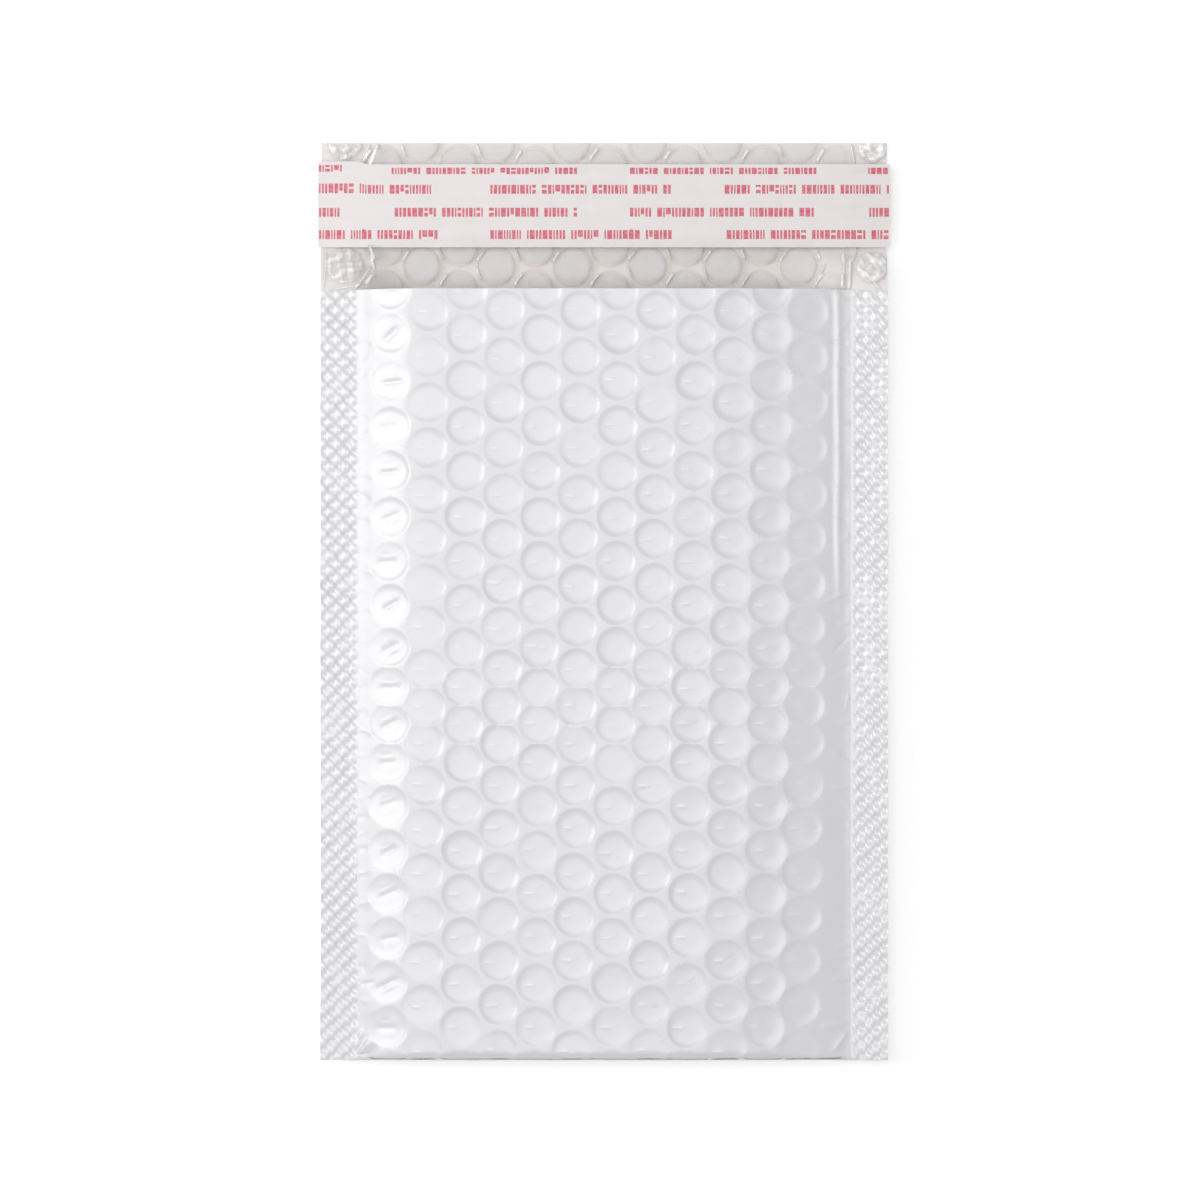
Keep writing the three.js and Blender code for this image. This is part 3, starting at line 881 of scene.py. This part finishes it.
def lining_piece(name, front, marks, low, high, segs, detail, tall, deepest):
    counts = [0, 8, 14, 20] + [segs] * 14 if detail else [0, 10] + [segs] * 7
    rim = edge_points(low, high, 1.2)
    pts = marks.rings(DOME_Q if detail else DOME_Q[::2], counts)
    inside = (pts > np.array(low) - 0.01).all(1) & (pts < np.array(high) + 0.01).all(1)
    parts = [pts[inside]]
    folds = flap_creases() if detail else None
    tight = flap_glints(marks) if detail else None
    if detail:
        parts.append(folds.points())
        parts.append(tight.points())
        for cx, cy, r in CRUSHED:
            g = np.stack(np.meshgrid(np.arange(-r, r, 0.26), np.arange(-r, r, 0.26)), -1).reshape(-1, 2)
            parts.append(g[np.hypot(*g.T) < r] + (cx, cy))
    pts = thin(np.vstack(parts), 0.07 if detail else 0.15)
    pts = pts[(pts > np.array(low)).all(1) & (pts < np.array(high)).all(1)]
    step = 0.6 if detail else 1.6
    pts = np.vstack([pts, fill_points(low, high, step, np.vstack([pts, rim]), 0.5 if detail else 0.9)])
    uv, faces, ring = triangulate(rim, pts, low, high)
    u, v = uv[:, 0], uv[:, 1]
    q, which = marks.nearest(u, v)
    k = marks.k[which]
    rounded = np.interp(q, DOME_Q, DOME_H) + 0.04 * np.clip(1 - q * q, 0, 1)
    # bubbles beside a seal have less room
    swell, _ = section(marks.c[:, 0], marks.c[:, 1], front)
    room = np.clip(((4.9 if front else 6.0) * swell - 0.6) / 3.1, 0.12, 1)
    if detail:
        room = np.maximum(room, smooth(MOUTH - 2, MOUTH + 2, marks.c[:, 1]))
    h = tall * np.clip(k, 0, 1.02) * room[which] * rounded
    tilt = marks.tilt[which, 0] * (u - marks.c[which, 0]) + marks.tilt[which, 1] * (v - marks.c[which, 1])
    h = h + 1.5 * tilt * smooth(0.95, 0.85, q)
    # the web is pulled into ridges half way between two bubbles
    first, second = second_nearest(marks, u, v)
    ridge = np.exp(-(((second - first) / 0.10) ** 2)) * smooth(1.02, 1.10, first) * smooth(2.2, 1.6, first)
    ridge = ridge * np.clip(0.75 + 0.5 * Noise(55, 5.0)(u, v), 0, 1.2)
    h = h + 0.03 * ridge
    # painted highlight: a soft bright line is painted along each side of a crown
    angle = np.arctan2(v - marks.c[which, 1], u - marks.c[which, 0])
    glint = 0.55 * smooth(0.45, 0.85, np.cos(angle + 0.25)) * np.exp(-(((q - 1.0) / 0.035) ** 2)) * np.clip(k, 0, 1)
    glint = glint + 0.45 * smooth(0.35, 0.8, np.cos(angle - 2.9)) * np.exp(-(((q - 1.02) / 0.03) ** 2)) * np.clip(k, 0, 1)
    if detail:
        pulled = tight.height(u, v) * smooth(0.97, 1.01, q)
        h = h + 0.7 * pulled * smooth(121.2, 119.6, v)
        # the tight folds are painted bright: painted highlight
        glint = np.clip(glint + pulled / 0.09, 0, 1)
    # painted shade round the foot of each bubble, and round the two left crushed ones
    foot_shade = smooth(0.97, 1.02, q) * smooth(1.16, 1.06, q) * np.clip(k, 0, 1)
    crushed_and_glint = np.zeros(len(u))
    if detail:
        side = smooth(SEAL_X - 1.2, SEAL_X + 0.2, np.abs(u))
        h = h * (1 - side) + side * 0.05
        foot_shade = foot_shade * (1 - side)
        ridge = ridge * (1 - side)
        glint = glint * (1 - side)
        for n, (cx, cy, r) in enumerate(CRUSHED):
            d = np.hypot(u - cx, v - cy) / r
            lump = np.clip(1 - d**3, 0, 1)
            facets = crumple(u, v, 200 + n)
            h = h + np.sqrt(lump) * (1.05 + (0.62 if n < 2 else 0.55) * facets)
            # the crushed bubbles are painted whiter on their facets: partly crumpled film, partly painted highlight
            crushed_and_glint = np.maximum(crushed_and_glint, smooth(1.0, 0.9, d) * ((0.55 if n < 2 else 0.8) + 0.45 * smooth(-0.2, 0.5, facets)))
            if n < 2:
                foot_shade = np.maximum(foot_shade, smooth(0.95, 1.0, d) * smooth(1.16, 1.05, d))
        fold = folds.height(u, v)
        h = h + fold
        # the folds beside the crushed bubbles are painted white too: painted highlight
        crushed_and_glint = np.maximum(crushed_and_glint, np.clip(fold / 0.35, 0, 1))
        h = h + 0.05 * Noise(56, 2.2)(u, v)
    verts = surface(u, v, front, -(deepest + h))
    if not front:
        # nothing of the flap stands higher than its flat crowns, which carry the glue
        z = verts[:, 2]
        level = 2.97 - 0.2 * smooth(95.8, 94.8, v) + 5.2 * smooth(93.4, 92.7, v)
        verts[:, 2] = np.where((v > MOUTH) & (z > level), level + 0.42 * (1 - np.exp(-(z - level) / 0.42)), z)
    if front:
        faces = faces[:, ::-1]
    crown = smooth(0.97, 0.88, q) * np.clip(k, 0, 1)
    if detail:
        crown = crown * (1 - side)
    attrs = {"crown": crown, "ring": foot_shade, "crushed_and_glint": crushed_and_glint, "ridge": ridge, "glint": glint if detail else 0 * glint}
    obj = build(name, verts, faces, [BUBBLE], None, attrs, sharp=75)
    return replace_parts(obj, "bubble_lining")


BUBBLE_R = 4.78
flap_only = Marks(flap_marks()[0], BUBBLE_R, flap_marks()[1], seed=23)
lining_flap = lining_piece(
    "lining_flap", False, flap_only, (-WIDTH / 2 + 0.05, MOUTH - 14.0), (WIDTH / 2 - 0.05, END - 0.05), 34, True, 2.72, 0.52
)
back_only = Marks(back_marks()[0], BUBBLE_R, back_marks()[1], seed=24)
lining_back = lining_piece(
    "lining_back", False, back_only, (-SEAL_X, V_FOLD + 1.0), (SEAL_X, MOUTH - 14.0), 20, False, 3.15, 0.52
)
front_inner = Marks(front_marks()[0], BUBBLE_R, [1.0] * len(front_marks()[0]), seed=21)
lining_front = lining_piece(
    "lining_front", True, front_inner, (-SEAL_X, V_FOLD + 1.0), (SEAL_X, MOUTH), 20, False, 2.9, 0.95
)

# ---------------------------------------------------------------- release liner with its print
LINER_Y, LINER_L, LINER_W = 104.7, 151.5, 22.0
LINER_Z, LINER_T = 3.66, 0.09


def print_bars():
    """Rows of short plain bars in groups, as (x0, y0, x1, y1)."""
    rng = np.random.default_rng(91)
    bars = []
    rows = (
        (169.5, 6.5, ((316, 341), (391, 577), (630, 817), (869, 890))),
        (188.0, 9.0, ((316, 437), (490, 671), (725, 890))),
        (211.0, 9.0, ((316, 342), (394, 577), (630, 817), (870, 890))),
        (233.5, 9.0, ((316, 437), (490, 672), (727, 890))),
    )
    for py, tall, spans in rows:
        y, half = float(px_y(py)), tall / 2 / 3.787
        for a, b in spans:
            x, end = float(px_x(a)), float(px_x(b))
            x, end = max(x, -LINER_L / 2 + 0.25), min(end, LINER_L / 2 - 0.25)
            left = int(rng.integers(6, 12))
            while x < end - 0.5:
                w = float(rng.choice([0.42, 0.6, 0.95, 1.3]))
                w = min(w, end - x)
                kind = rng.random()
                if kind < 0.72 or w < 0.8:
                    bars.append((x, y - half, x + w, y + half))
                elif kind < 0.86:
                    bars.append((x, y - half, x + w, y - 0.12 * half))
                    bars.append((x, y + 0.32 * half, x + w, y + half))
                else:
                    bars.append((x, y - 0.5 * half, x + w, y + half))
                x += w + 0.30
                left -= 1
                if left == 0:
                    x += 1.3
                    left = int(rng.integers(6, 12))
    return bars


def liner_shape(x, y):
    """Height of the liner: it sags a little between the crowns and lifts off at its ends."""
    q, _ = flap_only.nearest(x, np.clip(y, -1e3, 1e3))
    sag = -0.10 * smooth(0.75, 1.25, q)
    wave = 0.09 * Noise(71, (19.0, 9.0))(x, y) + 0.05 * Noise(72, (7.0, 5.0))(x, y)
    ends = -0.45 * smooth(62, 76, np.abs(x)) ** 1.5
    # past the glue it droops on to the crowns
    droop = -0.20 * smooth(8.2, 10.8, np.abs(y - LINER_Y)) * (1 + 0.3 * Noise(73, 13.0)(x, 0 * y))
    return LINER_Z + sag + wave + ends + droop


def liner_piece():
    low, high = (-LINER_L / 2, LINER_Y - LINER_W / 2), (LINER_L / 2, LINER_Y + LINER_W / 2)
    bars = print_bars()
    rim = edge_points(low, high, 1.1)
    pts = []
    for x0, y0, x1, y1 in bars:
        y1 = min(y1, high[1] - 0.16)
        for x in np.linspace(x0, x1, max(2, int((x1 - x0) / 0.7) + 1)):
            pts += [(x, y0), (x, y1)]
        for y in np.linspace(y0, y1, 4)[1:-1]:
            pts += [(x0, y), (x1, y)]
    pts = thin(np.array(pts), 0.05)
    pts = np.vstack([pts, fill_points(low, high, 1.0, np.vstack([pts, rim]), 0.6)])
    uv, faces, ring = triangulate(rim, pts, low, high, gap=0.1)
    mid = uv[faces].mean(1)
    inked = np.zeros(len(faces), int)
    for x0, y0, x1, y1 in bars:
        inked[(mid[:, 0] > x0) & (mid[:, 0] < x1) & (mid[:, 1] > y0) & (mid[:, 1] < y1)] = 1
    x, y = uv[:, 0], uv[:, 1]
    z = liner_shape(x, y)
    # the strip was laid a little askew: its far edge stands higher at the left end
    far = smooth(LINER_Y, LINER_Y + LINER_W / 2, y)
    yy = y + far * (0.75 * smooth(-63.2, -64.4, x) + 0.05 * Noise(74, 11.0)(x, 0 * x))
    top = np.stack([x, yy, z + LINER_T / 2], 1)
    under = np.stack([x, yy, z - LINER_T / 2], 1)
    n = len(top)
    strip = []
    for i in range(len(rim)):
        j = (i + 1) % len(rim)
        a0, a1, b0, b1 = ring[i], ring[j], n + ring[i], n + ring[j]
        strip += [(a0, b0, b1), (a0, b1, a1)]
    faces_all = np.vstack([faces, faces[:, ::-1] + n, np.array(strip)])
    slots = np.concatenate([inked, np.zeros(len(faces)), np.zeros(len(strip))])
    obj = build("release_liner_printed", np.vstack([top, under]), faces_all, [LINER, INK], slots)
    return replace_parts(obj, "release_liner")


liner = liner_piece()


# ---------------------------------------------------------------- glue band
def glue_piece():
    length, width, thick = 140.0, 16.0, 0.16
    nx, ny = 160, 20
    t = np.linspace(-1, 1, nx + 1)
    s = np.linspace(-1, 1, ny + 1)
    gx, gs = np.meshgrid(t * length / 2, s)
    wob = 0.35 * Noise(81, 7.0)(gx, 0 * gx) + 0.15 * Noise(82, 2.0)(gx, 0 * gx)
    gy = LINER_Y + gs * (width / 2 + wob * np.abs(gs) ** 3)
    end = np.sqrt(np.clip(1 - (np.clip(np.abs(gx) - (length / 2 - 1.2), 0, None) / 1.2) ** 2, 0, 1))
    round_edge = np.sqrt(np.clip(1 - np.abs(gs) ** 10, 0, 1)) * end
    z = liner_shape(gx.ravel(), gy.ravel()).reshape(gx.shape) - LINER_T / 2 - 0.02 - thick / 2
    top = np.stack([gx, gy, z + thick / 2 * (0.15 + 0.85 * round_edge)], -1).reshape(-1, 3)
    low = np.stack([gx, gy, z - thick / 2 * (0.15 + 0.85 * round_edge)], -1).reshape(-1, 3)
    n = len(top)
    w = nx + 1
    faces = []
    for r in range(ny):
        for c in range(nx):
            a = r * w + c
            faces += [(a, a + 1, a + w + 1), (a, a + w + 1, a + w)]
            faces += [(n + a, n + a + w + 1, n + a + 1), (n + a, n + a + w, n + a + w + 1)]
    loop = list(range(0, nx)) + [r * w + nx for r in range(ny)] + [ny * w + c for c in range(nx, 0, -1)] + [r * w for r in range(ny, 0, -1)]
    for i, a in enumerate(loop):
        b = loop[(i + 1) % len(loop)]
        faces += [(a, n + a, n + b), (a, n + b, b)]
    obj = build("glue_band", np.vstack([top, low]), faces, [GLUE])
    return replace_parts(obj, "adhesive_strip")


glue = glue_piece()


# ---------------------------------------------------------------- floor, light and camera
def floor():
    mesh = bpy.data.meshes.new("floor")
    s, z = 3.0, -0.0002
    mesh.from_pydata([(-s, -s, z), (s, -s, z), (s, s, z), (-s, s, z)], [], [(0, 1, 2, 3)])
    mesh.materials.append(FLOOR)
    obj = bpy.data.objects.new("floor", mesh)
    bpy.context.scene.collection.objects.link(obj)


def area(name, place, target, size, power, colour=(1, 1, 1)):
    data = bpy.data.lights.new(name, "AREA")
    data.shape = "RECTANGLE"
    data.size, data.size_y = size
    data.energy = power
    data.color = colour
    obj = bpy.data.objects.new(name, data)
    obj.location = place
    obj.rotation_euler = (Vector(target) - Vector(place)).to_track_quat("-Z", "Y").to_euler()
    bpy.context.scene.collection.objects.link(obj)
    return obj


def aim(azimuth, elevation, distance):
    a, e = math.radians(azimuth), math.radians(elevation)
    return (distance * math.cos(e) * math.cos(a), distance * math.cos(e) * math.sin(a), distance * math.sin(e))


floor()
area("window", aim(168, 45, 0.85), (0, 0, 0), (0.53, 0.34), 2.45)
area("overhead", (-0.12, 0.12, 1.45), (0, 0, 0), (1.1, 1.1), 6.9)

world = bpy.data.worlds.new("studio")
bpy.context.scene.world = world
world.use_nodes = True
world.node_tree.nodes["Background"].inputs["Color"].default_value = (1, 1, 1, 1)
world.node_tree.nodes["Background"].inputs["Strength"].default_value = 0.45

scene = bpy.context.scene
scene.view_settings.view_transform = "Standard"
scene.view_settings.look = "None"
scene.view_settings.exposure = 0.0

camera = bpy.data.cameras.new("camera")
camera.sensor_width = 36
camera.clip_end = 20
height = 2.4
camera.lens = 36 * (height - 0.011) / (1200 / 3.787 * MM)
cam = bpy.data.objects.new("camera", camera)
cam.location = (-4 / 3.787 * MM, 1 / 3.787 * MM, height)
cam.rotation_euler = (0, 0, 0)
scene.collection.objects.link(cam)
scene.camera = cam

for o in bpy.context.scene.objects:
    if o.type == "MESH" and not o.hide_render:
        print("piece", o.name, sum(len(p.vertices) - 2 for p in o.data.polygons))
